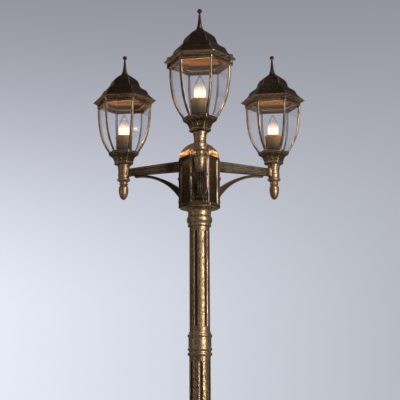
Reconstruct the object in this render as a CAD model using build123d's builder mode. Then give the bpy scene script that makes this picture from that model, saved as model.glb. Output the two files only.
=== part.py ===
from build123d import *
import math
import os

# Garden lamp post with three six-sided lanterns on arms, 120 degrees apart.
# The post stands on z = 0 with its axis on Z. The front lantern hangs over -Y.
# All lengths are in millimetres.
#
# A moulding is (lower radius, upper radius, height, bulge). A bulge of 0 is straight,
# more than 0 swells outwards and less than 0 is hollow. A stack of mouldings, listed from the
# bottom up, is turned about the axis for round pieces, or runs round a hexagon for
# six-sided ones, where the radii are those of its corners.

# ---- layout ----
lantern_angles = {"front": 0.0, "right": 120.0, "left": 240.0}
arm_reach = 280.0            # post axis to lantern axis
lantern_yaw = -9.0           # first corner of each lantern from the side-to-side line
front_way = -90.0            # direction of the front lantern, from +X

# ---- the hexagon that the hub and the lanterns share ----
corners = 6
full_turn = 360.0
corner_step = full_turn / corners
flat_turn = corner_step / 2  # from a corner to the middle of the next side
flat_share = math.cos(math.radians(flat_turn))   # distance to a side over distance to a corner
side_share = math.sin(math.radians(flat_turn))   # half a side's length over distance to a corner

# ---- general fits ----
slip_fit = 0.3               # between a spigot and its socket, on the radius
screw_fit = 0.15             # between a screw and its hole, on the radius
thread_fit = 0.1             # between threaded pieces, on the radius
touching = 1e-6              # points closer than this are one point

# ---- post, from the ground up ----
base_flange = (120.0, 120.0, 14.0, 0.0)
base_bell = (
    (86.0, 84.0, 8.0, 1.5),
    (78.0, 56.0, 68.0, -7.0),
    (58.0, 58.0, 9.0, 3.0),
    (52.0, 47.0, 59.0, -2.0),
    (49.0, 49.0, 10.0, 3.0),
    (44.0, 42.0, 42.0, -1.0),
)
base_wall = 6.0
anchor_circle = 200.0        # pitch circle of the anchor holes
anchor_holes = 4
anchor_hole_radius = 5.5
anchor_turn = 45.0           # first anchor hole, from +X
spigot_length = 28.0         # how far each spigot stands in the next tube
cable_bore = 20.0            # radius of the cable way through the castings

lower_tube_radius = 38.0
lower_tube_bore = 32.0
lower_tube_length = 411.0
lower_collar = (
    (41.0, 41.0, 9.0, 1.5),
    (38.0, 38.0, 4.0, 0.0),
    (40.0, 35.0, 36.0, -1.5),
    (37.0, 37.0, 8.0, 1.5),
    (35.0, 35.0, 4.0, 0.0),
    (36.0, 36.0, 8.0, 1.2),
    (33.5, 33.5, 4.0, 0.0),
)

middle_tube_radius = 32.0
middle_tube_bore = 26.0
middle_tube_length = 620.0
mid_collar = (
    (33.5, 33.5, 3.0, 0.0),
    (36.0, 36.0, 8.0, 1.2),
    (34.0, 34.0, 7.0, -0.5),
    (36.0, 36.0, 7.0, 1.2),
    (34.5, 34.5, 32.0, 0.0),
    (36.0, 36.0, 9.0, 1.4),
    (34.0, 33.0, 7.0, 0.0),
)

upper_tube_radius = 31.0
upper_tube_bore = 25.5
upper_tube_length = 320.0
neck = (
    (35.5, 35.5, 7.0, 0.8),
    (34.5, 34.5, 3.0, 0.0),
    (36.0, 36.0, 21.0, 3.5),
    (34.5, 34.5, 3.0, 0.0),
    (35.5, 36.5, 13.0, -0.4),
    (37.0, 57.0, 9.0, -5.0),
    (60.0, 60.0, 1.0, 0.0),
)

flutes_round = 6
flute_cutter = 9.0           # radius of the round flute
flute_depth = 2.6
flute_margin = 11.0          # plain tube left at each end
upper_flute_angle = 68.0
middle_flute_angle = 35.0

# ---- hub ----
hub_corner = 57.5
hub_wall = 4.0
hub_floor = 8.0              # also the height of its foot rim
hub_rim_corner = 64.0
hub_height = 148.0           # above the foot rim
neck_spigot = 24.0           # radius
panel_border = 4.0
panel_depth = 1.5
cap_mouldings = (
    (62.5, 62.5, 4.0, 0.6),
    (61.5, 53.5, 23.0, 2.2),
    (53.5, 0.0, 26.0, 13.5),
)
cap_wall = 3.0
cap_skirt = 10.0             # how far the cap's skirt stands in the hub
terminal_size = (46.0, 13.0, 17.0)
terminal_setback = 30.0      # from the post axis to the block's middle
terminal_ways = 3
terminal_pitch = 13.0
terminal_screw = 2.6         # radius of the sunk clamp screws
terminal_screw_depth = 4.0
terminal_round = 1.3         # radius of the block's upright edges

# ---- arms, with the plates that bolt them to the hub ----
plate_thickness = 8.0
plate_gap = 0.4              # between the edges of neighbouring pieces on the hub
plate_border = 3.6
pocket_depth = 2.0
pocket_top = 42.0            # heights over the plate's foot
pocket_waist = 17.0
pocket_inner = 13.0          # from the plate's middle line
seam_width = 1.2
seam_depth = 0.9
bolt_spread = 19.0           # bolts from the plate's middle line
bolt_heights = (14.0, 87.0)  # over the plate's foot
bolt_radius = 3.0
bolt_reach = 15.0
bolt_head_across = 10.0
bolt_head_height = 4.0
washer_radius = 5.6
washer_height = 1.4
arm_top_drop = 1.5           # arm's top below the hub's top, at the hub
arm_hub_height = 31.5
arm_hub_width = 20.0
arm_end_drop = 14.5          # arm's middle below the hub's top, at the lantern
arm_end_height = 23.0
arm_end_width = 16.0
arm_groove = 1.8
arm_ridges = (0.0, 0.14, 0.2, 0.36, 0.42, 0.58, 0.64, 0.8, 0.86, 1.0)
wire_bore = 4.0              # radius

# ---- brackets under the arms ----
bracket_tab = 46.0           # from the lantern axis to the bracket's outer end
bracket_tab_height = 7.0
bracket_tab_length = 22.0    # flat seat under the arm
bracket_width = 15.0
bracket_crest = (141.0, 31.5)    # a point on the upper edge: from the axis, below the arm's middle
bracket_belly = (141.0, 41.0)    # a point on the lower edge
bracket_root = (82.0, 121.0)     # upper and lower edge at the plate, below the arm's middle
bracket_rib = 5.0
bracket_rib_height = 1.6
roll_radius = 5.0
roll_width = 20.0
roll_rise = 3.0
tab_screw_inset = 11.0
tab_screw_radius = 2.0
tab_screw_head = 4.2
tab_screw_head_height = 2.4
tab_screw_sink = 1.2         # head's seat cut into the tab
tab_screw_reach = 7.0        # into the arm

# ---- lantern stem and pendant ----
acorn = (
    (0.0, 11.0, 10.0, 2.3),
    (11.0, 15.5, 23.0, 1.3),
    (15.5, 12.0, 14.0, 1.6),
)
acorn_stud = 5.0
acorn_stud_length = 12.0
stem = (
    (11.5, 12.5, 3.0, 0.0),
    (12.8, 12.8, 4.0, 1.3),
    (12.3, 14.5, 6.5, -0.8),
    (16.0, 19.5, 2.5, 0.3),
    (20.3, 20.3, 6.0, 0.8),
    (19.0, 18.0, 6.0, -0.4),
    (18.0, 18.0, 6.5, 0.0),
    (18.3, 18.3, 4.0, 0.9),
    (16.8, 16.8, 1.5, 0.0),
    (17.3, 21.0, 26.0, -0.8),
    (21.2, 21.2, 3.0, 0.3),
)
arm_seat_height = 41.5       # arm's middle over the stem's foot
arm_seat_reach = 22.0        # from the lantern axis to the arm's end
arm_seat_width = 17.0
arm_seat_tall = 25.0
stem_chamber = 6.0           # radius of the wiring space
stem_chamber_floor = 33.0    # over the stem's foot
cup_spigot = 18.5            # radius of the stem's head inside the cup
cup_spigot_height = 24.0

# ---- cup, cage and panes ----
cup_floor = (
    (29.5, 31.5, 2.0, 0.0),
    (31.5, 31.5, 5.0, 0.0),
)
cup_bowl = (
    (30.3, 33.5, 9.0, -0.2),
    (33.5, 37.5, 8.0, -0.4),
    (37.5, 46.5, 5.5, -1.2),
    (46.5, 49.5, 6.5, 0.5),
)
cup_wall = 3.5
cup_screws = 3
cup_screw_radius = 2.5
cup_screw_height = 17.0      # over the cup's foot
cup_screw_stand = 1.0

plate_corner = 50.5          # hexagonal foot of the cage
plate_height = 5.0
plate_hole = 33.0
flank = (
    (50.5, 79.0, 58.0, 3.2),
    (79.0, 89.0, 93.0, 3.0),
)
ring = (
    (91.0, 91.0, 3.0, 0.6),
    (89.0, 89.0, 2.0, 0.0),
    (90.3, 90.3, 6.0, 0.3),
)
retainer_thickness = 3.2     # plate in the ring that keeps the panes down
retainer_mouth = 70.0        # corner radius of the opening in the plate
retainer_hold = 4.0          # how far the roof's foot covers the plate's rim, at the corners
rib_width = 5.2              # of each side of a corner rib
rib_depth = 4.6
pane_thickness = 3.0
pane_gap = 0.35
pane_edge = 2.6
ear_radius = 5.0
ear_circle = 91.0
ears = 2                     # at the first corner and the one opposite

# ---- roof and finial ----
eave = (
    (93.0, 103.5, 6.0, -1.6),
    (103.5, 103.5, 3.5, 0.9),
)
bell = (
    (103.5, 79.0, 21.5, -1.9),
    (79.0, 70.0, 14.0, 1.6),
    (70.0, 56.0, 8.0, -0.4),
    (56.0, 50.0, 9.0, -0.7),
    (50.0, 40.0, 19.0, 2.0),
    (40.0, 10.0, 21.0, 0.8),
)
roof_wall = 3.0
roof_screw_radius = 2.0
roof_screw_head = 4.3
roof_screw_head_height = 3.2
roof_screw_round = 1.6       # radius of the head's rim
roof_screw_reach = 8.0
roof_boss_rise = 10.0        # flat screw seat over the eave's lip
roof_screw_recess = 14.0     # height cleared over the seat for the screw's head
finial = (
    (9.4, 9.4, 2.6, 0.9),
    (7.6, 7.6, 1.4, -0.3),
    (8.2, 8.2, 3.0, 0.9),
    (7.4, 2.7, 42.5, -0.6),
    (2.7, 0.8, 13.2, 5.1),
)
finial_stud = 3.0
finial_stud_length = 9.0

# ---- lampholder and bulb ----
nut_height = 5.0
nut_across = 14.0
nipple_radius = 5.0
nipple_bore = 3.6
nipple_bite = 20.0           # threaded length in the stem
holder_stand = 8.0           # holder's foot over the stem's head
holder_bite = 10.0           # nipple inside the holder
lampholder = (
    (15.0, 17.0, 6.0, 0.8),
    (20.0, 22.5, 14.0, 0.8),
    (25.0, 26.0, 36.0, 0.0),
    (27.5, 27.5, 4.0, 0.6),
    (26.0, 25.0, 3.0, 0.0),
)
bulb_depth = 33.0            # from the holder's mouth to the bulb's contact
bulb_rest = 0.3
bulb_cap = (
    (5.0, 5.0, 2.0, 0.0),
    (9.0, 13.2, 3.0, 0.0),
    (13.2, 13.2, 22.0, 0.0),
)
socket_mouth = 17.5
socket_flare = 5.3
bulb_glass = (
    (12.5, 17.5, 28.0, 1.2),
    (17.5, 8.0, 37.0, 3.0),
    (8.0, 1.4, 12.6, 1.0),
)
bulb_wall = 0.9

# ---- lamp leads ----
lead_radius = 2.4
lead_hub_bend = 14.0
lead_stem_bend = 8.0
lead_rise = 46.0             # straight rise over the terminal block
lead_entry = 30.0            # where it joins the arm's line, from the post axis


def height_of(mouldings):
    return sum(height for low, high, height, bulge in mouldings)


def inset(mouldings, wall):
    """The same mouldings drawn in by a wall."""
    return [(max(low - wall, 0.0), max(high - wall, 0.0), height, bulge)
            for low, high, height, bulge in mouldings]


def draw_mouldings(mouldings, foot_z, across=1.0, lessen=0.0):
    """Draws one side of an outline, out from the axis, up and back. Returns its top height."""
    last = (0.0, foot_z)
    for low, high, height, bulge in mouldings:
        start = (low * across - lessen, last[1])
        end = (high * across - lessen, last[1] + height)
        if math.dist(last, start) > touching:
            Line(last, start)
        if bulge:
            ThreePointArc(start, ((start[0] + end[0]) / 2 + bulge * across, start[1] + height / 2), end)
        else:
            Line(start, end)
        last = end
    if last[0] > touching:
        Line(last, (0.0, last[1]))
    return last[1]


def turn(mouldings, foot_z, mode=Mode.ADD):
    """Turns mouldings about the Z axis, in the part being built."""
    with BuildSketch(Plane.XZ) as outline:
        with BuildLine():
            top_z = draw_mouldings(mouldings, foot_z)
            Line((0, foot_z), (0, top_z))
        make_face()
    revolve(outline.sketch, axis=Axis.Z, mode=mode)


def facing(angle):
    """Upright plane through the Z axis, seen from the direction of the angle."""
    way = math.radians(angle)
    return Plane(origin=(0, 0, 0), x_dir=(-math.sin(way), math.cos(way), 0),
                 z_dir=(math.cos(way), math.sin(way), 0))


def six_sided(mouldings, foot_z, first_corner):
    """A six-sided solid: one curved slab for each pair of sides, cut by each other."""
    widest = max(max(low, high) for low, high, height, bulge in mouldings)
    with BuildPart() as solid:
        for side in range(corners // 2):
            with BuildSketch(facing(first_corner + corner_step * side)):
                with BuildLine():
                    draw_mouldings(mouldings, foot_z, across=flat_share)
                    mirror(about=Plane.YZ)
                make_face()
            extrude(amount=widest + ear_radius, both=True,
                    mode=Mode.ADD if side == 0 else Mode.INTERSECT)
    return solid.part


def save(shape, name):
    shape.label = name
    export_step(shape, f"parts/{name}.step")


def save_each(shape, name, places):
    for side, place in places.items():
        save(shape.moved(place), f"{side}_{name}")


def hexagon_across(across):
    """Corner radius of a hexagon of this size across its flats."""
    return across / 2 / flat_share


os.makedirs("parts", exist_ok=True)

# heights that follow from the stack of pieces
lower_tube_z = base_flange[2] + height_of(base_bell)
lower_collar_z = lower_tube_z + lower_tube_length
middle_tube_z = lower_collar_z + height_of(lower_collar)
mid_collar_z = middle_tube_z + middle_tube_length
upper_tube_z = mid_collar_z + height_of(mid_collar)
neck_z = upper_tube_z + upper_tube_length
hub_z = neck_z + height_of(neck)
hub_body_z = hub_z + hub_floor
hub_top_z = hub_body_z + hub_height
arm_axis_z = hub_top_z - arm_end_drop
stem_z = arm_axis_z - arm_seat_height
acorn_z = stem_z - height_of(acorn)
cup_z = stem_z + height_of(stem)
cage_z = cup_z + height_of(cup_floor + cup_bowl)
flank_z = cage_z + plate_height
ring_z = flank_z + height_of(flank)
ring_corner = flank[-1][1] - rib_depth
retainer_corner = ring_corner - slip_fit
roof_mouth = retainer_corner - retainer_hold
roof_z = ring_z + height_of(ring)
bell_z = roof_z + height_of(eave)
finial_z = bell_z + height_of(bell)
spigot_top_z = cup_z + cup_spigot_height
holder_z = spigot_top_z + holder_stand
holder_top_z = holder_z + height_of(lampholder)
bulb_z = holder_top_z - bulb_depth
glass_z = bulb_z + height_of(bulb_cap)
hub_flat = hub_corner * flat_share
plate_face = hub_flat + plate_thickness

lantern_places = {}
arm_places = {}
for side_name, angle in lantern_angles.items():
    way = math.radians(angle)
    lantern_places[side_name] = Location(
        (arm_reach * math.sin(way), -arm_reach * math.cos(way), 0), (0, 0, angle))
    arm_places[side_name] = Location((0, 0, 0), (0, 0, angle))

# ---- base casting ----
with BuildPart() as base_casting:
    turn((base_flange,) + base_bell, 0)
    turn(inset((base_bell[0],) + base_bell, base_wall), base_flange[2] - base_bell[0][2] - base_wall,
         mode=Mode.SUBTRACT)
    with BuildSketch(Plane.XY.offset(lower_tube_z)):
        Circle(lower_tube_bore - slip_fit)
    extrude(amount=spigot_length)
    with BuildSketch(Plane.XY):
        Circle(cable_bore)
    extrude(amount=lower_tube_z + spigot_length, mode=Mode.SUBTRACT)
    with BuildSketch(Plane.XY):
        with PolarLocations(anchor_circle / 2, anchor_holes, start_angle=anchor_turn):
            Circle(anchor_hole_radius)
    extrude(amount=base_flange[2], mode=Mode.SUBTRACT)
save(base_casting.part, "base_casting")


# ---- fluted tubes ----
def fluted_tube(radius, bore, length, foot_z, first_angle):
    """A round tube with hollow flutes that end in round ends short of the tube's ends."""
    cutter_circle = radius - flute_depth + flute_cutter
    flute_length = length - 2 * (flute_margin + flute_cutter)
    with BuildPart() as tube:
        with BuildSketch(Plane.XY.offset(foot_z)):
            Circle(radius)
            Circle(bore, mode=Mode.SUBTRACT)
        extrude(amount=length)
        with BuildSketch(Plane.XY.offset(foot_z + flute_margin + flute_cutter)):
            with PolarLocations(cutter_circle, flutes_round, start_angle=first_angle):
                Circle(flute_cutter)
        extrude(amount=flute_length, mode=Mode.SUBTRACT)
        for end_z in (foot_z + flute_margin + flute_cutter, foot_z + length - flute_margin - flute_cutter):
            with Locations((0, 0, end_z)):
                with PolarLocations(cutter_circle, flutes_round, start_angle=first_angle):
                    Sphere(flute_cutter, mode=Mode.SUBTRACT)
    return tube.part


save(fluted_tube(lower_tube_radius, lower_tube_bore, lower_tube_length, lower_tube_z,
                 middle_flute_angle), "lower_tube")
save(fluted_tube(middle_tube_radius, middle_tube_bore, middle_tube_length, middle_tube_z,
                 middle_flute_angle), "middle_tube")
save(fluted_tube(upper_tube_radius, upper_tube_bore, upper_tube_length, upper_tube_z,
                 upper_flute_angle), "upper_tube")


# ---- collars between the tubes, and the neck under the hub ----
def joining_collar(mouldings, foot_z, bore_below, spigot_above, above_length):
    """A turned collar with a spigot down into the lower tube and one up into the next piece."""
    top_z = foot_z + height_of(mouldings)
    with BuildPart() as collar:
        turn(mouldings, foot_z)
        with BuildSketch(Plane.XY.offset(foot_z - spigot_length)):
            Circle(bore_below - slip_fit)
        extrude(amount=spigot_length)
        with BuildSketch(Plane.XY.offset(top_z)):
            Circle(spigot_above)
        extrude(amount=above_length)
        with BuildSketch(Plane.XY.offset(foot_z - spigot_length)):
            Circle(cable_bore)
        extrude(amount=spigot_length + height_of(mouldings) + above_length, mode=Mode.SUBTRACT)
    return collar.part


save(joining_collar(lower_collar, lower_collar_z, lower_tube_bore,
                    middle_tube_bore - slip_fit, spigot_length), "lower_collar")
save(joining_collar(mid_collar, mid_collar_z, middle_tube_bore,
                    upper_tube_bore - slip_fit, spigot_length), "middle_collar")
save(joining_collar(neck, neck_z, upper_tube_bore, neck_spigot, hub_floor), "hub_neck")

# ---- hub housing ----
with BuildPart() as hub_housing:
    with BuildSketch(Plane.XY.offset(hub_z)):
        RegularPolygon(hub_rim_corner, corners)
    extrude(amount=hub_floor)
    with BuildSketch(Plane.XY.offset(hub_body_z)):
        RegularPolygon(hub_corner, corners)
    extrude(amount=hub_height)
    with BuildSketch(Plane.XY.offset(hub_body_z)):
        RegularPolygon(hub_corner - hub_wall / flat_share, corners)
    extrude(amount=hub_height, mode=Mode.SUBTRACT)
    with BuildSketch(Plane.XY.offset(hub_z)):
        Circle(neck_spigot + slip_fit)
    extrude(amount=hub_floor, mode=Mode.SUBTRACT)
    for angle in lantern_angles.values():
        # bolt and wire holes in the wall behind each arm
        with BuildSketch(facing(front_way + angle)):
            with Locations(*[(x, hub_body_z + z) for x in (-bolt_spread, bolt_spread)
                             for z in bolt_heights]):
                Circle(bolt_radius + screw_fit)
            with Locations((0, arm_axis_z)):
                Circle(wire_bore)
        extrude(amount=hub_corner, mode=Mode.SUBTRACT)
        # sunk panel on the face between two arms
        with BuildSketch(facing(angle - front_way).offset(hub_flat - panel_depth)):
            with Locations((0, hub_body_z + hub_height / 2)):
                Rectangle(hub_corner - 2 * panel_border, hub_height - 2 * panel_border)
        extrude(amount=panel_depth, mode=Mode.SUBTRACT)
save(hub_housing.part, "hub_housing")

# ---- hub cap ----
cap_shell = six_sided(cap_mouldings, hub_top_z, 0)
cap_hollow = six_sided(inset(cap_mouldings[1:], cap_wall), hub_top_z + cap_mouldings[0][2] - cap_wall, 0)
skirt_corner = hub_corner - (hub_wall + slip_fit) / flat_share
with BuildPart() as hub_cap:
    add(cap_shell)
    add(cap_hollow, mode=Mode.SUBTRACT)
    with BuildSketch(Plane.XY.offset(hub_top_z - cap_skirt)):
        RegularPolygon(skirt_corner, corners)
    extrude(amount=cap_skirt)
    with BuildSketch(Plane.XY.offset(hub_top_z - cap_skirt)):
        RegularPolygon(skirt_corner - cap_wall, corners)
    extrude(amount=cap_skirt + cap_mouldings[0][2], mode=Mode.SUBTRACT)
save(hub_cap.part, "hub_cap")

# ---- terminal block on the hub floor ----
with BuildPart() as terminal_block:
    with BuildSketch(Plane.XY.offset(hub_body_z)):
        with Locations((0, terminal_setback)):
            Rectangle(terminal_size[0], terminal_size[1])
    extrude(amount=terminal_size[2])
    fillet(terminal_block.edges().filter_by(Axis.Z), radius=terminal_round)
    with BuildSketch(Plane.XZ.offset(terminal_size[1] / 2 - terminal_setback)):
        with Locations((0, hub_body_z + terminal_size[2] / 2)):
            with GridLocations(terminal_pitch, 0, terminal_ways, 1):
                Circle(terminal_screw)
    extrude(amount=-terminal_screw_depth, mode=Mode.SUBTRACT)
save(terminal_block.part, "terminal_block")


# ---- arm with its hub plate, in the front position ----
def draw_arm_side(width, height):
    """One side of the arm's ridged cross-section."""
    points = [(0, -height / 2)]
    for step, share in enumerate(arm_ridges):
        groove = step // 2 % 2 == 1      # edges of ridges and grooves take turns in pairs
        sunk = arm_groove if groove else 0.0
        points.append((width / 2 - sunk, height * (share - 0.5)))
    points.append((0, height / 2))
    Polyline(*points)


def arm_underside(out):
    """Height of the arm's slanting underside at a distance from the post axis."""
    hub_under = arm_hub_z - arm_hub_height / 2
    end_under = arm_axis_z - arm_end_height / 2
    return hub_under + (end_under - hub_under) * (out - plate_face) / (arm_end - plate_face)


plate_width = hub_corner - plate_gap
plate_side = plate_width / 2 - plate_border
arm_hub_z = hub_top_z - arm_top_drop - arm_hub_height / 2
arm_end = arm_reach - arm_seat_reach
tab_out = arm_reach - bracket_tab
tab_screw_out = tab_out - tab_screw_inset
tab_foot_z = arm_underside(tab_out) - bracket_tab_height
tab_seat_z = tab_foot_z + tab_screw_sink
tab_screw_top_z = arm_underside(tab_screw_out) + tab_screw_reach

with BuildPart() as arm:
    with BuildSketch(facing(front_way).offset(hub_flat)):
        with Locations((0, hub_body_z + hub_height / 2)):
            Rectangle(plate_width, hub_height)
    extrude(amount=plate_thickness)
    chamfer(arm.faces().sort_by(Axis.Y)[0].edges(), length=seam_depth)
    with BuildSketch(facing(front_way).offset(plate_face)):
        for flip in (-1, 1):
            with BuildLine():
                Polyline((flip * plate_side, hub_body_z + plate_border),
                         (flip * plate_side, hub_body_z + pocket_top),
                         (flip * pocket_inner, hub_body_z + pocket_waist),
                         (flip * pocket_inner, hub_body_z + plate_border),
                         close=True)
            make_face()
    extrude(amount=-pocket_depth, mode=Mode.SUBTRACT)
    with BuildSketch(facing(front_way).offset(plate_face)):
        with Locations(*[(flip * (plate_side - seam_width / 2),
                          hub_body_z + (pocket_top + hub_height) / 2) for flip in (-1, 1)]):
            Rectangle(seam_width, hub_height - pocket_top - 2 * plate_border)
    extrude(amount=-seam_depth, mode=Mode.SUBTRACT)
    for along, middle_z, width, height in ((plate_face, arm_hub_z, arm_hub_width, arm_hub_height),
                                           (arm_end, arm_axis_z, arm_end_width, arm_end_height)):
        with BuildSketch(Plane(origin=(0, -along, middle_z), x_dir=(1, 0, 0), z_dir=(0, -1, 0))):
            with BuildLine():
                draw_arm_side(width, height)
                mirror(about=Plane.YZ)
            make_face()
    loft(ruled=True)
    with BuildSketch(facing(front_way)):
        with Locations((0, arm_axis_z)):
            Circle(wire_bore)
        with Locations(*[(x, hub_body_z + z) for x in (-bolt_spread, bolt_spread)
                         for z in bolt_heights]):
            Circle(bolt_radius + screw_fit)
    extrude(amount=arm_reach, mode=Mode.SUBTRACT)
    with BuildSketch(Plane.XY.offset(tab_seat_z)):
        with Locations((0, -tab_screw_out)):
            Circle(tab_screw_radius + screw_fit)
    extrude(amount=tab_screw_top_z - tab_seat_z, mode=Mode.SUBTRACT)
save_each(arm.part, "arm", arm_places)

# ---- curved bracket under the arm, in the front position ----
def draw_bracket(below):
    """Closed side outline of the bracket, its lower edge set down by a rib's height."""
    tab_top = (-tab_out, arm_underside(tab_out))
    tab_root = (-tab_out + bracket_tab_length, arm_underside(tab_out - bracket_tab_length))
    root_top = (-plate_face, arm_axis_z - bracket_root[0])
    root_foot = (-plate_face, arm_axis_z - bracket_root[1])
    tab_foot = (-tab_out, tab_foot_z - below)
    Line(tab_top, tab_root)
    ThreePointArc(tab_root, (-bracket_crest[0], arm_axis_z - bracket_crest[1]), root_top)
    Line(root_top, root_foot)
    ThreePointArc(root_foot, (-bracket_belly[0], arm_axis_z - bracket_belly[1] - below), tab_foot)
    Line(tab_foot, tab_top)


with BuildPart() as bracket:
    for width, below in ((bracket_width, 0.0), (bracket_rib, bracket_rib_height)):
        with BuildSketch(Plane.YZ):
            with BuildLine():
                draw_bracket(below)
            make_face()
        extrude(amount=width / 2, both=True)
    with BuildSketch(Plane.YZ):
        with Locations((-plate_face - roll_radius, arm_axis_z - bracket_root[1] + roll_rise)):
            Circle(roll_radius)
    extrude(amount=roll_width / 2, both=True)
    with BuildSketch(Plane.XY.offset(tab_seat_z)):
        with Locations((0, -tab_screw_out)):
            Circle(tab_screw_head + screw_fit)
    extrude(amount=-2 * bracket_tab_height, mode=Mode.SUBTRACT)
    with BuildSketch(Plane.XY.offset(tab_seat_z)):
        with Locations((0, -tab_screw_out)):
            Circle(tab_screw_radius + screw_fit)
    extrude(amount=2 * bracket_tab_height, mode=Mode.SUBTRACT)
save_each(bracket.part, "bracket", arm_places)

# ---- stem with its seat for the arm ----
with BuildPart() as lantern_stem:
    turn(stem + ((cup_spigot, cup_spigot, cup_spigot_height, 0.0),), stem_z)
    with BuildSketch(Plane.XZ.offset(-arm_seat_reach)):
        with Locations((0, arm_axis_z)):
            Rectangle(arm_seat_width, arm_seat_tall)
    extrude(amount=arm_seat_reach)
    with BuildSketch(Plane.XY.offset(stem_z + stem_chamber_floor)):
        Circle(stem_chamber)
    extrude(amount=spigot_top_z - nipple_bite - stem_z - stem_chamber_floor, mode=Mode.SUBTRACT)
    with BuildSketch(Plane.XY.offset(spigot_top_z - nipple_bite)):
        Circle(nipple_radius + thread_fit)
    extrude(amount=nipple_bite, mode=Mode.SUBTRACT)
    with BuildSketch(Plane.XY.offset(stem_z)):
        Circle(acorn_stud + thread_fit)
    extrude(amount=acorn_stud_length, mode=Mode.SUBTRACT)
    with BuildSketch(Plane.XZ):
        with Locations((0, arm_axis_z)):
            Circle(wire_bore)
    extrude(amount=-arm_seat_reach, mode=Mode.SUBTRACT)
save_each(lantern_stem.part, "stem", lantern_places)

# ---- acorn pendant ----
with BuildPart() as acorn_pendant:
    turn(acorn + ((acorn_stud, acorn_stud, acorn_stud_length, 0.0),), acorn_z)
save_each(acorn_pendant.part, "acorn", lantern_places)

# ---- cup ----
cup_floor_height = height_of(cup_floor)
cup_outside = six_sided(cup_floor + cup_bowl, cup_z, lantern_yaw)
cup_inside = six_sided(inset(cup_bowl, cup_wall), cup_z + cup_floor_height, lantern_yaw)
cup_screw_angles = [lantern_yaw + front_way + full_turn * k / cup_screws for k in range(cup_screws)]
with BuildPart() as cup_casting:
    add(cup_outside)
    add(cup_inside, mode=Mode.SUBTRACT)
    with BuildSketch(Plane.XY.offset(cup_z)):
        Circle(cup_spigot + slip_fit)
    extrude(amount=cup_floor_height, mode=Mode.SUBTRACT)
    for angle in cup_screw_angles:
        with BuildSketch(facing(angle)):
            with Locations((0, cup_z + cup_screw_height)):
                Circle(cup_screw_radius + screw_fit)
        extrude(amount=plate_corner, mode=Mode.SUBTRACT)
save_each(cup_casting.part, "cup", lantern_places)

# ---- cage: foot plate, six corner ribs and top ring in one casting ----
cage_outside = six_sided(((plate_corner, plate_corner, plate_height, 0.4),) + flank + ring,
                         cage_z, lantern_yaw)
cage_inside = six_sided(inset(flank, rib_depth), flank_z, lantern_yaw)
ring_inside = six_sided(((ring_corner, ring_corner, height_of(ring), 0.0),), ring_z, lantern_yaw)
with BuildPart() as cage:
    add(cage_outside)
    add(cage_inside, mode=Mode.SUBTRACT)
    add(ring_inside, mode=Mode.SUBTRACT)
    for side in range(corners):
        with BuildSketch(facing(lantern_yaw + flat_turn + corner_step * side)):
            with BuildLine():
                draw_mouldings(flank, flank_z, across=side_share, lessen=rib_width)
                mirror(about=Plane.YZ)
            make_face()
        extrude(amount=plate_corner + ear_circle, mode=Mode.SUBTRACT)
    with BuildSketch(Plane.XY.offset(cage_z)):
        Circle(plate_hole)
    extrude(amount=plate_height, mode=Mode.SUBTRACT)
    with BuildSketch(Plane.XY.offset(ring_z)):
        with PolarLocations(ear_circle, ears, start_angle=lantern_yaw):
            Circle(ear_radius)
    extrude(amount=height_of(ring))
    with BuildSketch(Plane.XY.offset(ring_z)):
        with PolarLocations(ear_circle, ears, start_angle=lantern_yaw):
            Circle(roof_screw_radius + screw_fit)
    extrude(amount=height_of(ring), mode=Mode.SUBTRACT)
save_each(cage.part, "cage", lantern_places)

# ---- six curved panes behind the ribs ----
pane_flank = flank + ((flank[-1][1], flank[-1][1], height_of(ring) - retainer_thickness - pane_gap, 0.0),)
pane_outside = six_sided(inset(pane_flank, rib_depth + pane_gap), flank_z, lantern_yaw)
pane_inside = six_sided(inset(pane_flank, rib_depth + pane_gap + pane_thickness), flank_z, lantern_yaw)
with BuildPart() as pane:
    add(pane_outside)
    add(pane_inside, mode=Mode.SUBTRACT)
    with BuildSketch(facing(lantern_yaw + flat_turn)):
        with BuildLine():
            draw_mouldings(inset(pane_flank, rib_depth + pane_gap), flank_z, across=side_share,
                           lessen=pane_edge)
            mirror(about=Plane.YZ)
        make_face()
    extrude(amount=plate_corner + ear_circle, mode=Mode.INTERSECT)
with BuildPart() as glass_panes:
    with PolarLocations(0, corners):
        add(pane.part)
save_each(glass_panes.part, "glass_panes", lantern_places)

# ---- plate that keeps the panes down, held in the ring by the roof's foot ----
with BuildPart() as pane_retainer:
    with BuildSketch(Plane.XY.offset(roof_z - retainer_thickness)):
        RegularPolygon(retainer_corner, corners, rotation=lantern_yaw)
        RegularPolygon(retainer_mouth, corners, rotation=lantern_yaw, mode=Mode.SUBTRACT)
    extrude(amount=retainer_thickness)
save_each(pane_retainer.part, "pane_retainer", lantern_places)

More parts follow.
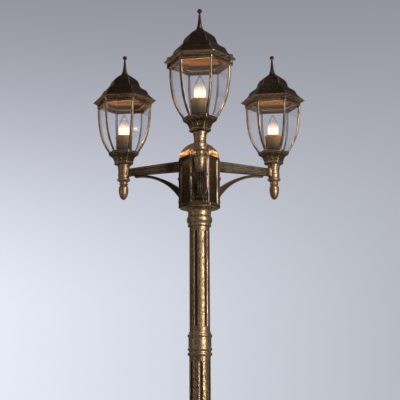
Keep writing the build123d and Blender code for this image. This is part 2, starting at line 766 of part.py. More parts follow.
# ---- roof ----
roof_outside = six_sided(eave + bell, roof_z, lantern_yaw)
roof_inside = six_sided(inset(bell, roof_wall), bell_z - roof_wall, lantern_yaw)
roof_seat_z = bell_z + roof_boss_rise
with BuildPart() as roof:
    add(roof_outside)
    add(roof_inside, mode=Mode.SUBTRACT)
    with BuildSketch(Plane.XY.offset(roof_z)):
        RegularPolygon(roof_mouth, corners, rotation=lantern_yaw)
    extrude(amount=height_of(eave), mode=Mode.SUBTRACT)
    with BuildSketch(Plane.XY.offset(roof_z)):
        with PolarLocations(ear_circle, ears, start_angle=lantern_yaw):
            Circle(ear_radius)
    extrude(amount=roof_seat_z - roof_z)
    with BuildSketch(Plane.XY.offset(roof_z)):
        with PolarLocations(ear_circle, ears, start_angle=lantern_yaw):
            Circle(roof_screw_radius + screw_fit)
    extrude(amount=roof_seat_z - roof_z, mode=Mode.SUBTRACT)
    with BuildSketch(Plane.XY.offset(roof_seat_z)):
        with PolarLocations(ear_circle, ears, start_angle=lantern_yaw):
            Circle(roof_screw_head + slip_fit)
    extrude(amount=roof_screw_recess, mode=Mode.SUBTRACT)
    with BuildSketch(Plane.XY.offset(finial_z - finial_stud_length)):
        Circle(finial_stud + thread_fit)
    extrude(amount=finial_stud_length, mode=Mode.SUBTRACT)
save_each(roof.part, "roof", lantern_places)

# ---- roof screws ----
with BuildPart() as roof_screws:
    with BuildSketch(Plane.XY.offset(ring_z + height_of(ring) - roof_screw_reach)):
        with PolarLocations(ear_circle, ears, start_angle=lantern_yaw):
            Circle(roof_screw_radius)
    extrude(amount=roof_seat_z - roof_z + roof_screw_reach)
    with BuildSketch(Plane.XY.offset(roof_seat_z)):
        with PolarLocations(ear_circle, ears, start_angle=lantern_yaw):
            Circle(roof_screw_head)
    extrude(amount=roof_screw_head_height)
    fillet(roof_screws.edges().group_by(Axis.Z)[-1], radius=roof_screw_round)
save_each(roof_screws.part, "roof_screws", lantern_places)

# ---- finial ----
with BuildPart() as finial_spire:
    turn(((finial_stud, finial_stud, finial_stud_length, 0.0),) + finial, finial_z - finial_stud_length)
save_each(finial_spire.part, "finial", lantern_places)

# ---- lampholder ----
socket = bulb_cap[-1][1] + thread_fit
with BuildPart() as holder:
    turn(lampholder, holder_z)
    turn(((socket, socket, bulb_depth + bulb_rest - socket_flare, 0.0),
          (socket, socket_mouth, socket_flare, 0.0)), bulb_z - bulb_rest, mode=Mode.SUBTRACT)
    with BuildSketch(Plane.XY.offset(holder_z)):
        Circle(nipple_radius + thread_fit)
    extrude(amount=holder_bite, mode=Mode.SUBTRACT)
save_each(holder.part, "lampholder", lantern_places)

# ---- bulb ----
with BuildPart() as bulb_base:
    turn(bulb_cap, bulb_z)
save_each(bulb_base.part, "bulb_cap", lantern_places)

with BuildPart() as bulb_envelope:
    turn(bulb_glass, glass_z)
    turn(inset(bulb_glass, bulb_wall), glass_z - bulb_wall, mode=Mode.SUBTRACT)
save_each(bulb_envelope.part, "bulb_glass", lantern_places)

# ---- small pieces that repeat under every lantern ----
with BuildPart() as nipple:
    with BuildSketch(Plane.XY.offset(spigot_top_z - nipple_bite)):
        Circle(nipple_radius)
        Circle(nipple_bore, mode=Mode.SUBTRACT)
    extrude(amount=nipple_bite + holder_stand + holder_bite)
with BuildPart() as threaded_nipples:
    with Locations(*lantern_places.values()):
        add(nipple.part)
save(threaded_nipples.part, "threaded_nipples")

with BuildPart() as nut:
    with BuildSketch(Plane.XY.offset(spigot_top_z)):
        RegularPolygon(hexagon_across(nut_across), corners)
        Circle(nipple_radius + thread_fit, mode=Mode.SUBTRACT)
    extrude(amount=nut_height)
with BuildPart() as lock_nuts:
    with Locations(*lantern_places.values()):
        add(nut.part)
save(lock_nuts.part, "lock_nuts")

cup_face = flat_share * (cup_bowl[0][0] + cup_bowl[0][1]) / 2
with BuildPart() as cup_screw_set:
    for angle in cup_screw_angles:
        with BuildSketch(facing(angle).offset(cup_spigot)):
            with Locations((0, cup_z + cup_screw_height)):
                Circle(cup_screw_radius)
        extrude(amount=cup_face + cup_screw_stand - cup_spigot)
with BuildPart() as cup_set_screws:
    with Locations(*lantern_places.values()):
        add(cup_screw_set.part)
save(cup_set_screws.part, "cup_set_screws")

# ---- plate bolts and bracket screws ----
with BuildPart() as bolt_set:
    for height, seat in ((bolt_heights[0], plate_face - pocket_depth), (bolt_heights[1], plate_face)):
        places = [(x, hub_body_z + height) for x in (-bolt_spread, bolt_spread)]
        with BuildSketch(facing(front_way).offset(seat)):
            with Locations(*places):
                Circle(washer_radius)
        extrude(amount=washer_height)
        with BuildSketch(facing(front_way).offset(seat + washer_height)):
            with Locations(*places):
                RegularPolygon(hexagon_across(bolt_head_across), corners)
        extrude(amount=bolt_head_height)
        with BuildSketch(facing(front_way).offset(seat - bolt_reach)):
            with Locations(*places):
                Circle(bolt_radius)
        extrude(amount=bolt_reach)
with BuildPart() as plate_bolts:
    with Locations(*arm_places.values()):
        add(bolt_set.part)
save(plate_bolts.part, "plate_bolts")

with BuildPart() as tab_screw:
    for radius, rise in ((tab_screw_radius, tab_screw_top_z - tab_seat_z),
                         (tab_screw_head, -tab_screw_head_height)):
        with BuildSketch(Plane.XY.offset(tab_seat_z)):
            with Locations((0, -tab_screw_out)):
                Circle(radius)
        extrude(amount=rise)
with BuildPart() as bracket_screws:
    with Locations(*arm_places.values()):
        add(tab_screw.part)
save(bracket_screws.part, "bracket_screws")

# ---- lamp leads from the terminal block through the arms to the lampholders ----
with BuildPart() as lamp_leads:
    for angle, way_x in zip(lantern_angles.values(), (0.0, terminal_pitch, -terminal_pitch)):
        out = Vector(0, -1, 0).rotate(Axis.Z, angle)
        start = Vector(way_x, terminal_setback, hub_body_z + terminal_size[2])
        points = [start,
                  start + Vector(0, 0, lead_rise),
                  out * lead_entry + Vector(0, 0, arm_axis_z),
                  out * arm_reach + Vector(0, 0, arm_axis_z),
                  out * arm_reach + Vector(0, 0, holder_z + holder_bite)]
        with BuildLine() as route:
            FilletPolyline(*points, radius=[lead_hub_bend, lead_hub_bend, lead_stem_bend])
        with BuildSketch(Plane(origin=start, z_dir=(0, 0, 1))) as wire:
            Circle(lead_radius)
        sweep(wire.sketch, path=route.line)
save(lamp_leads.part, "lamp_leads")
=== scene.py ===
import bpy
import math
from mathutils import Matrix, Vector


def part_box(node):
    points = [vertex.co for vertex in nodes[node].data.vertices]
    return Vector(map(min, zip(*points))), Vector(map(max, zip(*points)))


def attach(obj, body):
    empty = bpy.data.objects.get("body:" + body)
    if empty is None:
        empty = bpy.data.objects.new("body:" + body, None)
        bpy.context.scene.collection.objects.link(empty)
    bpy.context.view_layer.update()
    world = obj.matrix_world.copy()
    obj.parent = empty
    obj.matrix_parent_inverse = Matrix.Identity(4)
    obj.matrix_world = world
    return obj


# Garden lamp post with three lit lanterns, in metres, in the frame of its CAD solids.

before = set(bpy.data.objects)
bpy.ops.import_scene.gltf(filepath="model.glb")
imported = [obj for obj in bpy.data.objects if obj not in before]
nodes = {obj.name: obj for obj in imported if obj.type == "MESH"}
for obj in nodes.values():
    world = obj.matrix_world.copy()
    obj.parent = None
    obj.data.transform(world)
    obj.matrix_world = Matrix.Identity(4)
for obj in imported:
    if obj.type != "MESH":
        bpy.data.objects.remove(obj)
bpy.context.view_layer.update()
sides = ("front", "right", "left")
mm = 0.001


def middleOf(nodeName):
    low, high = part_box(nodeName)
    return (low + high) / 2


def newObject(name, data):
    thing = bpy.data.objects.new(name, data)
    bpy.context.scene.collection.objects.link(thing)
    return thing


lanternMiddles = {side: middleOf(side + "_bulb_cap") for side in sides}


# Shader trees. A socket is named, or numbered where a node has several of one name.
def newMaterial(name):
    material = bpy.data.materials.new(name)
    material.use_nodes = True
    material.node_tree.nodes.clear()
    return material, material.node_tree


def addNode(tree, kind, settings=None, inputs=None):
    node = tree.nodes.new(kind)
    for key, value in (settings or {}).items():
        setattr(node, key, value)
    for key, value in (inputs or {}).items():
        if isinstance(value, bpy.types.NodeSocket):
            tree.links.new(value, node.inputs[key])
        else:
            node.inputs[key].default_value = value
    return node


def calculate(tree, operation, first, second, clamp=False):
    node = addNode(tree, "ShaderNodeMath", {"operation": operation, "use_clamp": clamp},
                   {0: first, 1: second})
    return node.outputs[0]


def weighted(tree, first, firstShare, second, secondShare):
    return calculate(tree, "ADD", calculate(tree, "MULTIPLY", first, firstShare),
                     calculate(tree, "MULTIPLY", second, secondShare))


# The colour sockets of a mix node come after those for numbers and vectors.
colourSockets = {"share": 0, "first": 6, "second": 7, "result": 2}


def mixColours(tree, share, first, second):
    node = addNode(tree, "ShaderNodeMix", {"data_type": "RGBA"},
                   {colourSockets["share"]: share, colourSockets["first"]: first,
                    colourSockets["second"]: second})
    return node.outputs[colourSockets["result"]]


def mixShaders(tree, share, first, second):
    return addNode(tree, "ShaderNodeMixShader", None, {0: share, 1: first, 2: second}).outputs[0]


def ramp(tree, value, low, high):
    node = addNode(tree, "ShaderNodeMapRange", {"interpolation_type": "SMOOTHSTEP"},
                   {"Value": value, "From Min": low, "From Max": high})
    return node.outputs["Result"]


def mapped(tree, value, low, high, span=(0.0, 1.0)):
    node = addNode(tree, "ShaderNodeMapRange", None,
                   {"Value": value, "From Min": span[0], "From Max": span[1], "To Min": low, "To Max": high})
    return node.outputs["Result"]


def noise(tree, vector, scale, detail=4.0, roughness=0.55):
    node = addNode(tree, "ShaderNodeTexNoise", None,
                   {"Vector": vector, "Scale": scale, "Detail": detail, "Roughness": roughness})
    return node.outputs["Fac"]


def stretched(tree, coordinates, scale, turn):
    node = addNode(tree, "ShaderNodeMapping", None,
                   {"Vector": coordinates, "Scale": scale, "Rotation": turn})
    return node.outputs["Vector"]


def placeOf(tree):
    return addNode(tree, "ShaderNodeTexCoord").outputs["Object"]


def axesOf(tree, vector):
    return addNode(tree, "ShaderNodeSeparateXYZ", None, {0: vector}).outputs


def levelVector(tree, x, y):
    return addNode(tree, "ShaderNodeCombineXYZ", None, {0: x, 1: y}).outputs[0]


def dotProduct(tree, first, second):
    node = addNode(tree, "ShaderNodeVectorMath", {"operation": "DOT_PRODUCT"}, {0: first, 1: second})
    return node.outputs["Value"]


def roundedNormal(tree, radius, samples):
    return addNode(tree, "ShaderNodeBevel", {"samples": samples}, {"Radius": radius}).outputs[0]


def bumpNormal(tree, height, strength, depth, extra=None):
    node = addNode(tree, "ShaderNodeBump", None,
                   {"Strength": strength, "Distance": depth, "Height": height, **(extra or {})})
    return node.outputs["Normal"]


def principled(tree, inputs):
    return addNode(tree, "ShaderNodeBsdfPrincipled", None, inputs)


def finishTree(tree, shader):
    addNode(tree, "ShaderNodeOutputMaterial", None, {"Surface": shader})


# Cast pieces: black-brown paint with bronze brushed over it, gold where the brush met an edge.
# strokes is how fine the brush marks are along X, Y and Z, turn how they lie, and cover is the
# span of noise that takes the paint from black to bronze.
bronzeLooks = {
    "tube": {"strokes": (620.0, 620.0, 130.0), "turn": (0.5, 0.4, 0.0), "cover": (0.41, 0.62)},
    "roof": {"strokes": (90.0, 90.0, 620.0), "cover": (0.55, 0.74),
             "eave": (9 * mm, 12 * mm), "eaveCover": (0.40, 0.58)},
    "cage": {"strokes": (420.0, 420.0, 90.0), "cover": (0.49, 0.70)},
    "retainer": {"strokes": (80.0, 80.0, 80.0), "cover": (0.60, 0.80)},
    "cup": {"strokes": (260.0, 260.0, 420.0), "cover": (0.46, 0.70)},
    "turned": {"strokes": (170.0, 170.0, 560.0), "cover": (0.37, 0.60)},
    "finial": {"strokes": (160.0, 160.0, 160.0), "cover": (0.54, 0.70)},
    "arm": {"strokes": (420.0, 420.0, 110.0), "cover": (0.60, 0.90)},
    "hub": {"strokes": (420.0, 420.0, 70.0), "cover": (0.54, 0.74)},
    "cap": {"strokes": (90.0, 90.0, 90.0), "cover": (0.40, 0.62)},
}
bronzeShared = {
    "turn": (0.0, 0.0, 0.0),
    "black": (0.026, 0.015, 0.009, 1.0), "bronze": (0.38, 0.262, 0.158, 1.0),
    "gold": (1.0, 0.84, 0.62, 1.0), "metallic": 0.9, "rough": 0.52, "smooth": 0.25, "wornShare": 0.8,
    "strokeNoise": {"scale": 1.0, "detail": 5.0, "roughness": 0.62},
    "cloudNoise": {"scale": 17.0, "detail": 3.0}, "cloudShare": 0.14,
    "grainNoise": {"scale": 900.0, "detail": 2.0},
    "edgeWidth": 1.9 * mm, "edgeSpan": (0.012, 0.09), "edgeCloud": (0.3, 0.6),
    "hollowReach": 7 * mm, "hollowSpan": (0.35, 0.85), "samples": 6,
    "flutePaint": 0.05, "fluteSpan": (1.3 * mm, 0.3 * mm),
    "rounding": 3.2 * mm, "bump": 0.3, "bumpDepth": 0.35 * mm, "strokeRelief": 0.7, "grainRelief": 0.3,
}
# The roof's inside is bare casting: what faces its own axis, above the eave.
roofInside = {"colour": (0.13, 0.072, 0.034, 1.0), "roughness": 0.8, "sheen": 0.06,
              "facing": (0.0, -0.15), "over": (4 * mm, 8 * mm)}


def insideShare(tree, side, geometry):
    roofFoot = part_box(side + "_roof")[0].z
    middle = lanternMiddles[side]
    axes = axesOf(tree, placeOf(tree))
    outward = levelVector(tree, calculate(tree, "SUBTRACT", axes["X"], middle.x),
                          calculate(tree, "SUBTRACT", axes["Y"], middle.y))
    way = addNode(tree, "ShaderNodeVectorMath", {"operation": "NORMALIZE"}, {0: outward}).outputs[0]
    inward = ramp(tree, dotProduct(tree, way, geometry.outputs["True Normal"]), *roofInside["facing"])
    above = ramp(tree, axes["Z"], roofFoot + roofInside["over"][0], roofFoot + roofInside["over"][1])
    return calculate(tree, "MULTIPLY", inward, above)


def bronzeMaterial(name, look, grooveRadius=None, hollowSide=None):
    shared = bronzeShared
    material, tree = newMaterial(name)
    place = placeOf(tree)
    geometry = addNode(tree, "ShaderNodeNewGeometry")
    brushed = stretched(tree, place, look["strokes"], look.get("turn", shared["turn"]))
    strokes = noise(tree, brushed, **shared["strokeNoise"])
    cloud = noise(tree, place, **shared["cloudNoise"])
    grain = noise(tree, place, **shared["grainNoise"])
    uneven = weighted(tree, strokes, 1.0 - shared["cloudShare"], cloud, shared["cloudShare"])
    cover = ramp(tree, uneven, *look["cover"])
    if hollowSide:       # the eave was brushed more than the slopes above it
        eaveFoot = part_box(hollowSide + "_roof")[0].z
        height = axesOf(tree, place)["Z"]
        eave = ramp(tree, height, eaveFoot + look["eave"][1], eaveFoot + look["eave"][0])
        eaveCover = calculate(tree, "MULTIPLY", eave, ramp(tree, uneven, *look["eaveCover"]))
        cover = calculate(tree, "MAXIMUM", cover, eaveCover)
    # hollows stay black, because a dry brush does not reach them
    hollow = addNode(tree, "ShaderNodeAmbientOcclusion", {"samples": shared["samples"]},
                     {"Distance": shared["hollowReach"]}).outputs["AO"]
    reached = ramp(tree, hollow, *shared["hollowSpan"])
    cover = calculate(tree, "MULTIPLY", cover, reached)
    if grooveRadius is not None:       # and so do the flutes, inside this radius
        axes = axesOf(tree, place)
        out = addNode(tree, "ShaderNodeVectorMath", {"operation": "LENGTH"},
                      {0: levelVector(tree, axes["X"], axes["Y"])}).outputs["Value"]
        crest = ramp(tree, out, grooveRadius - shared["fluteSpan"][0], grooveRadius - shared["fluteSpan"][1])
        cover = calculate(tree, "MULTIPLY", cover, calculate(tree, "MAXIMUM", crest, shared["flutePaint"]))
    # an edge is where the rounded normal leaves the true one
    apart = dotProduct(tree, roundedNormal(tree, shared["edgeWidth"], shared["samples"]),
                       geometry.outputs["Normal"])
    away = calculate(tree, "SUBTRACT", 1.0, apart, clamp=True)
    edge = ramp(tree, away, *shared["edgeSpan"])
    edge = calculate(tree, "MULTIPLY", edge, calculate(tree, "MULTIPLY", reached,
                                                       ramp(tree, cloud, *shared["edgeCloud"])))
    colour = mixColours(tree, cover, shared["black"], shared["bronze"])
    colour = mixColours(tree, edge, colour, shared["gold"])
    worn = calculate(tree, "MAXIMUM", cover, edge)
    roughness = mapped(tree, calculate(tree, "MULTIPLY", worn, shared["wornShare"]), shared["rough"],
                       shared["smooth"])
    relief = weighted(tree, strokes, shared["strokeRelief"], grain, shared["grainRelief"])
    bump = bumpNormal(tree, relief, shared["bump"], shared["bumpDepth"],
                      {"Normal": roundedNormal(tree, shared["rounding"], shared["samples"])})
    surface = principled(tree, {"Base Color": colour, "Metallic": shared["metallic"],
                                "Roughness": roughness, "Normal": bump}).outputs[0]
    if hollowSide:
        bare = principled(tree, {"Base Color": roofInside["colour"], "Roughness": roofInside["roughness"],
                                 "Specular IOR Level": roofInside["sheen"], "Normal": bump})
        surface = mixShaders(tree, insideShare(tree, hollowSide, geometry), surface, bare.outputs[0])
    finishTree(tree, surface)
    return material


# Plain pieces: one paint or metal with a little mottle. Painted shade darkens the foot of a lampholder, as
# if the bulb's light lit only its top.
holderLow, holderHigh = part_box("front_lampholder")       # the three stand at one height
# painted shade on the lampholders: near-black at the foot, fading into the bakelite's own colour above the
# mouth
holderPaintedShade = {"foot": holderLow.z + 20 * mm, "mouth": holderHigh.z + 6 * mm, "sheen": 0.08,
        "colour": (0.010, 0.007, 0.004, 1)}
plainLooks = {
    "dark_steel": {"colour": (0.07, 0.055, 0.042, 1), "darker": (0.015, 0.012, 0.01, 1),
                   "metallic": 0.9, "roughness": 0.42, "scale": 400.0, "bumpDepth": 0.1 * mm},
    "zinc_steel": {"colour": (0.55, 0.53, 0.5, 1), "darker": (0.32, 0.31, 0.29, 1),
                   "metallic": 1.0, "roughness": 0.35, "scale": 300.0, "bumpDepth": 0.05 * mm},
    "turned_brass": {"colour": (0.8, 0.6, 0.3, 1), "darker": (0.5, 0.35, 0.16, 1),
                     "metallic": 1.0, "roughness": 0.3, "scale": 260.0, "bumpDepth": 0.05 * mm},
    "lamp_cap_metal": {"colour": (0.78, 0.74, 0.66, 1), "darker": (0.5, 0.46, 0.4, 1),
                       "metallic": 1.0, "roughness": 0.3, "scale": 260.0, "bumpDepth": 0.05 * mm},
    "brown_bakelite": {"colour": (0.22, 0.108, 0.034, 1), "darker": (0.12, 0.058, 0.019, 1),
                       "metallic": 0.0, "roughness": 0.55, "scale": 120.0, "bumpDepth": 0.08 * mm,
                       "paintedShade": holderPaintedShade},
    "pale_plastic": {"colour": (0.8, 0.78, 0.72, 1), "darker": (0.66, 0.64, 0.58, 1),
                     "metallic": 0.0, "roughness": 0.5, "scale": 150.0, "bumpDepth": 0.05 * mm},
    "black_sheath": {"colour": (0.03, 0.03, 0.03, 1), "darker": (0.012, 0.012, 0.012, 1),
                     "metallic": 0.0, "roughness": 0.6, "scale": 300.0, "bumpDepth": 0.05 * mm},
}
plainShared = {"mottleSpan": (0.3, 0.7), "rougher": 0.1, "smoother": 0.05, "bump": 0.15, "finer": 4,
               "fineDetail": 3.0, "sheen": 0.5}


def plainMaterial(name, look):
    shared = plainShared
    paintedShade = look.get("paintedShade")
    material, tree = newMaterial(name)
    place = placeOf(tree)
    mottle = noise(tree, place, look["scale"])
    paint = mixColours(tree, ramp(tree, mottle, *shared["mottleSpan"]), look["darker"], look["colour"])
    # painted shade: the colour grows darker towards the foot, where the bulb's light falls off
    if paintedShade:
        height = axesOf(tree, place)["Z"]
        paint = mixColours(tree, ramp(tree, height, paintedShade["foot"], paintedShade["mouth"]), paintedShade["colour"],
                           paint)
    rough = mapped(tree, mottle, look["roughness"] + shared["rougher"],
                   look["roughness"] - shared["smoother"])
    bump = bumpNormal(tree, noise(tree, place, look["scale"] * shared["finer"], shared["fineDetail"]),
                      shared["bump"], look["bumpDepth"])
    sheen = paintedShade["sheen"] if paintedShade else shared["sheen"]
    shader = principled(tree, {"Base Color": paint, "Metallic": look["metallic"], "Roughness": rough,
                               "Normal": bump, "Specular IOR Level": sheen})
    finishTree(tree, shader.outputs[0])
    return material


# Glass: clear, a little wavy, with faint uneven dust. Shadow rays pass, so the lamps light the post.
glassLooks = {
    "pane": {"tint": (0.95, 0.965, 0.98, 1), "wave": 22.0, "dust": 60.0, "bump": 0.12, "haze": 0.06},
    "bulb": {"tint": (1.0, 0.985, 0.96, 1), "wave": 40.0, "dust": 90.0, "bump": 0.04, "haze": 0.02},
}
glassShared = {"waveDetail": 2.0, "dustDetail": 5.0, "dustRoughness": 0.7, "dustSpan": (0.4, 0.8),
               "bumpDepth": 0.4 * mm, "index": 1.46}
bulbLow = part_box("front_bulb_glass")[0]       # the three bulbs stand at one height
bulbGlow = {"foot": bulbLow.z - 10 * mm, "middle": bulbLow.z + 20 * mm, "tip": bulbLow.z + 64 * mm,
            "strength": 0.46, "colour": (1.0, 0.60, 0.30, 1.0)}


def clearGlass(name, look, glow=None):
    shared = glassShared
    material, tree = newMaterial(name)
    place = placeOf(tree)
    wave = noise(tree, place, look["wave"], shared["waveDetail"])
    dust = noise(tree, place, look["dust"], shared["dustDetail"], shared["dustRoughness"])
    bump = bumpNormal(tree, wave, look["bump"], shared["bumpDepth"])
    rough = mapped(tree, dust, 0.0, look["haze"], shared["dustSpan"])
    glass = principled(tree, {"Base Color": look["tint"], "Roughness": rough, "IOR": shared["index"],
                              "Transmission Weight": 1.0, "Normal": bump})
    if glow:       # light caught in the glass, most at the filament's height
        height = axesOf(tree, place)["Z"]
        below = ramp(tree, height, glow["foot"], glow["middle"])
        above = ramp(tree, height, glow["tip"], glow["middle"])
        caught = calculate(tree, "MULTIPLY", calculate(tree, "MULTIPLY", below, above),
                           calculate(tree, "MULTIPLY", above, glow["strength"]))
        tree.links.new(caught, glass.inputs["Emission Strength"])
        glass.inputs["Emission Color"].default_value = glow["colour"]
    passing = addNode(tree, "ShaderNodeBsdfTransparent", None, {"Color": look["tint"]})
    path = addNode(tree, "ShaderNodeLightPath")
    finishTree(tree, mixShaders(tree, path.outputs["Is Shadow Ray"], glass.outputs[0], passing.outputs[0]))
    return material


print("materials")
bronze = {key: bronzeMaterial("bronze_" + key, look) for key, look in bronzeLooks.items()
          if key not in ("roof", "tube")}
roofBronze = {side: bronzeMaterial("bronze_roof_" + side, bronzeLooks["roof"], hollowSide=side)
              for side in sides}
tubeBronze = {}
for tubeName in ("lower_tube", "middle_tube", "upper_tube"):
    low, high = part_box(tubeName)
    tubeBronze[tubeName] = bronzeMaterial("bronze_" + tubeName, bronzeLooks["tube"],
                                          (high.x - low.x) / 2)
plain = {name: plainMaterial(name, look) for name, look in plainLooks.items()}
paneGlass = clearGlass("pane_glass", glassLooks["pane"])
stemGlass = clearGlass("bulb_stem_glass", glassLooks["bulb"])
bulbGlass = clearGlass("bulb_clear_glass", glassLooks["bulb"], bulbGlow)

materialOf = {
    "base_casting": bronze["turned"], "lower_collar": bronze["turned"],
    "middle_collar": bronze["turned"], "hub_neck": bronze["turned"],
    "hub_housing": bronze["hub"], "hub_cap": bronze["cap"],
    "terminal_block": plain["pale_plastic"], "threaded_nipples": plain["turned_brass"],
    "lock_nuts": plain["zinc_steel"], "cup_set_screws": plain["dark_steel"],
    "plate_bolts": plain["dark_steel"], "bracket_screws": plain["dark_steel"],
    "lamp_leads": plain["black_sheath"],
}
materialOf.update(tubeBronze)
for side in sides:
    materialOf.update({
        side + "_roof": roofBronze[side], side + "_finial": bronze["finial"],
        side + "_roof_screws": plain["dark_steel"], side + "_cage": bronze["cage"],
        side + "_pane_retainer": bronze["retainer"], side + "_glass_panes": paneGlass,
        side + "_cup": bronze["cup"], side + "_stem": bronze["turned"],
        side + "_acorn": bronze["turned"], side + "_lampholder": plain["brown_bakelite"],
        side + "_bulb_cap": plain["lamp_cap_metal"], side + "_bulb_glass": bulbGlass,
        side + "_arm": bronze["arm"], side + "_bracket": bronze["arm"],
    })
for nodeName, node in nodes.items():
    node.data.materials.clear()
    node.data.materials.append(materialOf[nodeName])


# Inside each bulb: a glass stem, two support wires and a looped filament that glows.
print("filaments")
filamentLook = {
    "loops": 5, "height": 26 * mm, "spread": 5.2 * mm, "topShare": 0.55, "wire": 0.28 * mm,
    "over": 12 * mm, "glow": (1.0, 0.66, 0.32, 1.0), "strength": 70.0, "uneven": (0.8, 1.2),
    "unevenNoise": {"scale": 500.0, "detail": 2.0},
}
# outline: shares of the radius, and heights over the bulb's foot
stemLook = {"radius": 3.4 * mm, "height": 13 * mm, "steps": 20,
            "outline": ((1.0, 2 * mm), (0.8, 6 * mm), (0.62, 10.4 * mm), (0.3, 13 * mm))}
supportLook = {"wire": 0.35 * mm, "foot": 5 * mm, "footReach": 1.2 * mm, "stemReach": 1.6 * mm,
               "over": 1 * mm}
wireLook = {"roundness": 3, "order": 3}


def glowMaterial(name, look):
    material, tree = newMaterial(name)
    uneven = mapped(tree, noise(tree, placeOf(tree), **look["unevenNoise"]),
                    look["uneven"][0] * look["strength"], look["uneven"][1] * look["strength"])
    shader = addNode(tree, "ShaderNodeEmission", None, {"Color": look["glow"], "Strength": uneven})
    finishTree(tree, shader.outputs[0])
    return material


def tubeCurve(name, points, radius, material):
    curve = bpy.data.curves.new(name, "CURVE")
    curve.dimensions = "3D"
    curve.bevel_depth = radius
    curve.bevel_resolution = wireLook["roundness"]
    curve.use_fill_caps = True
    spline = curve.splines.new("NURBS")
    spline.points.add(len(points) - 1)
    for point, place in zip(spline.points, points):
        point.co = (place[0], place[1], place[2], 1.0)
    spline.order_u = wireLook["order"]
    spline.use_endpoint_u = True
    curve.materials.append(material)
    return newObject(name, curve)


def turnedMesh(name, outline, centre, steps, material):
    points, faces = [], []
    for radius, z in outline:
        for step in range(steps):
            angle = math.tau * step / steps
            points.append((centre.x + radius * math.cos(angle), centre.y + radius * math.sin(angle), z))
    for row in range(len(outline) - 1):
        for step in range(steps):
            after = (step + 1) % steps
            faces.append((row * steps + step, row * steps + after, (row + 1) * steps + after,
                          (row + 1) * steps + step))
    faces.append(tuple(reversed(range(steps))))
    faces.append(tuple((len(outline) - 1) * steps + step for step in range(steps)))
    mesh = bpy.data.meshes.new(name)
    mesh.from_pydata(points, [], faces)
    for face in mesh.polygons:
        face.use_smooth = True
    mesh.materials.append(material)
    return newObject(name, mesh)


filamentGlow = glowMaterial("filament_glow", filamentLook)
for side in sides:
    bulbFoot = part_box(side + "_bulb_glass")[0].z
    centre = middleOf(side + "_bulb_glass")
    footZ = bulbFoot + filamentLook["over"]
    stemOutline = [(share * stemLook["radius"], bulbFoot + height) for share, height in stemLook["outline"]]
    stem = turnedMesh(side + "_bulb_stem", stemOutline, centre, stemLook["steps"], stemGlass)
    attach(stem, side + "_bulb")
    points = []
    for turning in range(2 * filamentLook["loops"] + 1):       # foot and top by turns
        angle = math.tau * turning / (2 * filamentLook["loops"])
        up = filamentLook["height"] if turning % 2 else 0.0
        reach = filamentLook["spread"] * (filamentLook["topShare"] if turning % 2 else 1.0)
        points.append((centre.x + reach * math.cos(angle), centre.y + reach * math.sin(angle), footZ + up))
    filament = tubeCurve(side + "_filament", points, filamentLook["wire"], filamentGlow)
    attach(filament, side + "_bulb")
    for way in (-1, 1):
        wirePoints = [
            (centre.x + way * supportLook["footReach"], centre.y, bulbFoot + supportLook["foot"]),
            (centre.x + way * supportLook["stemReach"], centre.y, bulbFoot + stemLook["height"]),
            (centre.x + way * filamentLook["spread"], centre.y, footZ + supportLook["over"]),
        ]
        wire = tubeCurve(f"{side}_support_wire_{'a' if way < 0 else 'b'}", wirePoints,
                         supportLook["wire"], plain["zinc_steel"])
        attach(wire, side + "_bulb")

# The light of each lamp, at its filament.
print("lamps and studio")
lampLook = {"power": 1.5, "radius": 9 * mm, "over": 27 * mm, "colour": (1.0, 0.56, 0.24)}


def placeLight(name, kind, place, power, colour):
    light = bpy.data.lights.new(name, kind)
    light.energy = power
    light.color = colour
    thing = newObject(name, light)
    thing.location = place
    thing.visible_camera = False
    thing.visible_transmission = False
    return thing


for side in sides:
    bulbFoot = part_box(side + "_bulb_glass")[0].z
    lamp = placeLight(side + "_lamp_light", "POINT",
                      (lanternMiddles[side].x, lanternMiddles[side].y, bulbFoot + lampLook["over"]),
                      lampLook["power"], lampLook["colour"])
    lamp.data.shadow_soft_size = lampLook["radius"]

softboxLooks = {
    "key_softbox": {"place": (2.0, -2.3, 2.2), "size": (0.9, 2.8), "power": 128.0,
                    "colour": (1.0, 0.94, 0.85)},
    "fill_softbox": {"place": (-2.9, -1.3, 1.9), "size": (0.9, 2.4), "power": 6.0,
                     "colour": (1.0, 0.96, 0.90)},
    "front_softbox": {"place": (0.8, -3.2, 3.1), "size": (0.8, 0.9), "power": 17.0,
                      "colour": (1.0, 0.95, 0.87)},
    "back_softbox": {"place": (-1.2, 2.7, 2.6), "size": (1.2, 1.6), "power": 6.0,
                     "colour": (1.0, 0.94, 0.86)},
}
studioAim = (0.0, 0.0, 1.7)
for name, look in softboxLooks.items():
    softbox = placeLight(name, "AREA", look["place"], look["power"], look["colour"])
    softbox.data.shape = "RECTANGLE"
    softbox.data.size, softbox.data.size_y = look["size"]
    softbox.rotation_mode = "QUATERNION"
    softbox.rotation_quaternion = (Vector(studioAim) - Vector(look["place"])).to_track_quat("-Z", "Y")

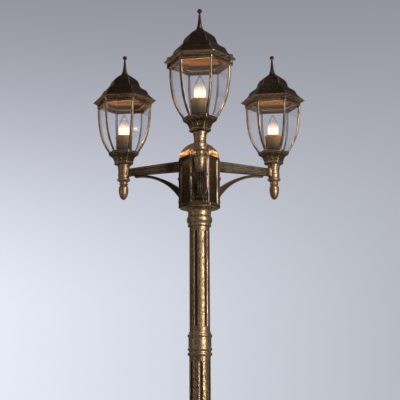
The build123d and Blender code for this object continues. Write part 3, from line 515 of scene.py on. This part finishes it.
# Pale floor, and a background that shades from pale at the horizon to grey above.
floorLook = {"radius": 4.2, "colour": (0.88, 0.90, 0.94, 1.0), "worn": (0.84, 0.86, 0.91, 1.0),
             "steps": 96, "wear": 3.0, "wearSpan": (0.2, 0.8), "roughness": 0.85}
floorMesh = bpy.data.meshes.new("floor")
floorPoints = [(floorLook["radius"] * math.cos(math.tau * k / floorLook["steps"]),
                floorLook["radius"] * math.sin(math.tau * k / floorLook["steps"]), 0.0)
               for k in range(floorLook["steps"])]
floorMesh.from_pydata(floorPoints, [], [tuple(range(floorLook["steps"]))])
floorThing = newObject("floor", floorMesh)
floorMaterial, floorTree = newMaterial("pale_floor")
floorWear = noise(floorTree, placeOf(floorTree), floorLook["wear"])
floorPaint = mixColours(floorTree, ramp(floorTree, floorWear, *floorLook["wearSpan"]),
                        floorLook["worn"], floorLook["colour"])
floorShader = principled(floorTree, {"Base Color": floorPaint, "Roughness": floorLook["roughness"]})
finishTree(floorTree, floorShader.outputs[0])
floorMesh.materials.append(floorMaterial)
floorThing.visible_glossy = False       # the post does not mirror the studio floor

worldLook = {"horizon": (0.645, 0.675, 0.75, 1.0), "above": (0.275, 0.278, 0.325, 1.0),
             "span": (0.07, 0.415), "lean": 1.30, "reach": 0.2, "ambient": (0.70, 0.63, 0.56, 1.0),
             "ambientStrength": 0.30}
world = bpy.data.worlds.new("studio_world")
bpy.context.scene.world = world
world.use_nodes = True
world.node_tree.nodes.clear()
sky = world.node_tree
direction = addNode(sky, "ShaderNodeTexCoord").outputs["Generated"]
skyAxes = axesOf(sky, direction)
rise = ramp(sky, skyAxes["Z"], *worldLook["span"])
backColour = mixColours(sky, rise, worldLook["horizon"], worldLook["above"])
lean = calculate(sky, "MULTIPLY", calculate(sky, "SUBTRACT", 1.0, rise), worldLook["lean"])
# the shading stops at the sides of the picture, so the backdrop is pale all the way round
sideways = calculate(sky, "MINIMUM", skyAxes["X"], worldLook["reach"])
sideways = calculate(sky, "MAXIMUM", sideways, -worldLook["reach"])
sideShade = calculate(sky, "SUBTRACT", 1.0, calculate(sky, "MULTIPLY", sideways, lean))
shownSky = addNode(sky, "ShaderNodeBackground", None, {"Color": backColour, "Strength": sideShade})
ambientSky = addNode(sky, "ShaderNodeBackground", None,
                     {"Color": worldLook["ambient"], "Strength": worldLook["ambientStrength"]})
skyPath = addNode(sky, "ShaderNodeLightPath")
seen = calculate(sky, "MAXIMUM", skyPath.outputs["Is Camera Ray"],
                 skyPath.outputs["Is Transmission Ray"])
skyMix = mixShaders(sky, seen, ambientSky.outputs[0], shownSky.outputs[0])
addNode(sky, "ShaderNodeOutputWorld", None, {"Surface": skyMix})

# The photograph's viewpoint.
print("camera")
cameraLook = {"place": (-0.0302, -3.1062, 1.1958), "yaw": 0.593, "pitch": 10.836, "roll": -0.231,
              "lens": 92.58, "sensor": 36.0}
camera = bpy.data.cameras.new("camera")
camera.lens = cameraLook["lens"]
camera.sensor_width = cameraLook["sensor"]
camera.dof.use_dof = False
cameraThing = newObject("camera", camera)
yaw, pitch, roll = (math.radians(cameraLook[key]) for key in ("yaw", "pitch", "roll"))
ahead = Vector((math.sin(yaw) * math.cos(pitch), math.cos(yaw) * math.cos(pitch), math.sin(pitch)))
levelRight = Vector((math.cos(yaw), -math.sin(yaw), 0.0))
levelUp = levelRight.cross(ahead)
right = math.cos(roll) * levelRight + math.sin(roll) * levelUp
up = math.cos(roll) * levelUp - math.sin(roll) * levelRight
turn = Matrix((right, up, -ahead)).transposed()
cameraThing.rotation_mode = "QUATERNION"
cameraThing.rotation_quaternion = turn.to_quaternion()
cameraThing.location = cameraLook["place"]
bpy.context.scene.camera = cameraThing
bpy.context.scene.view_settings.view_transform = "Standard"
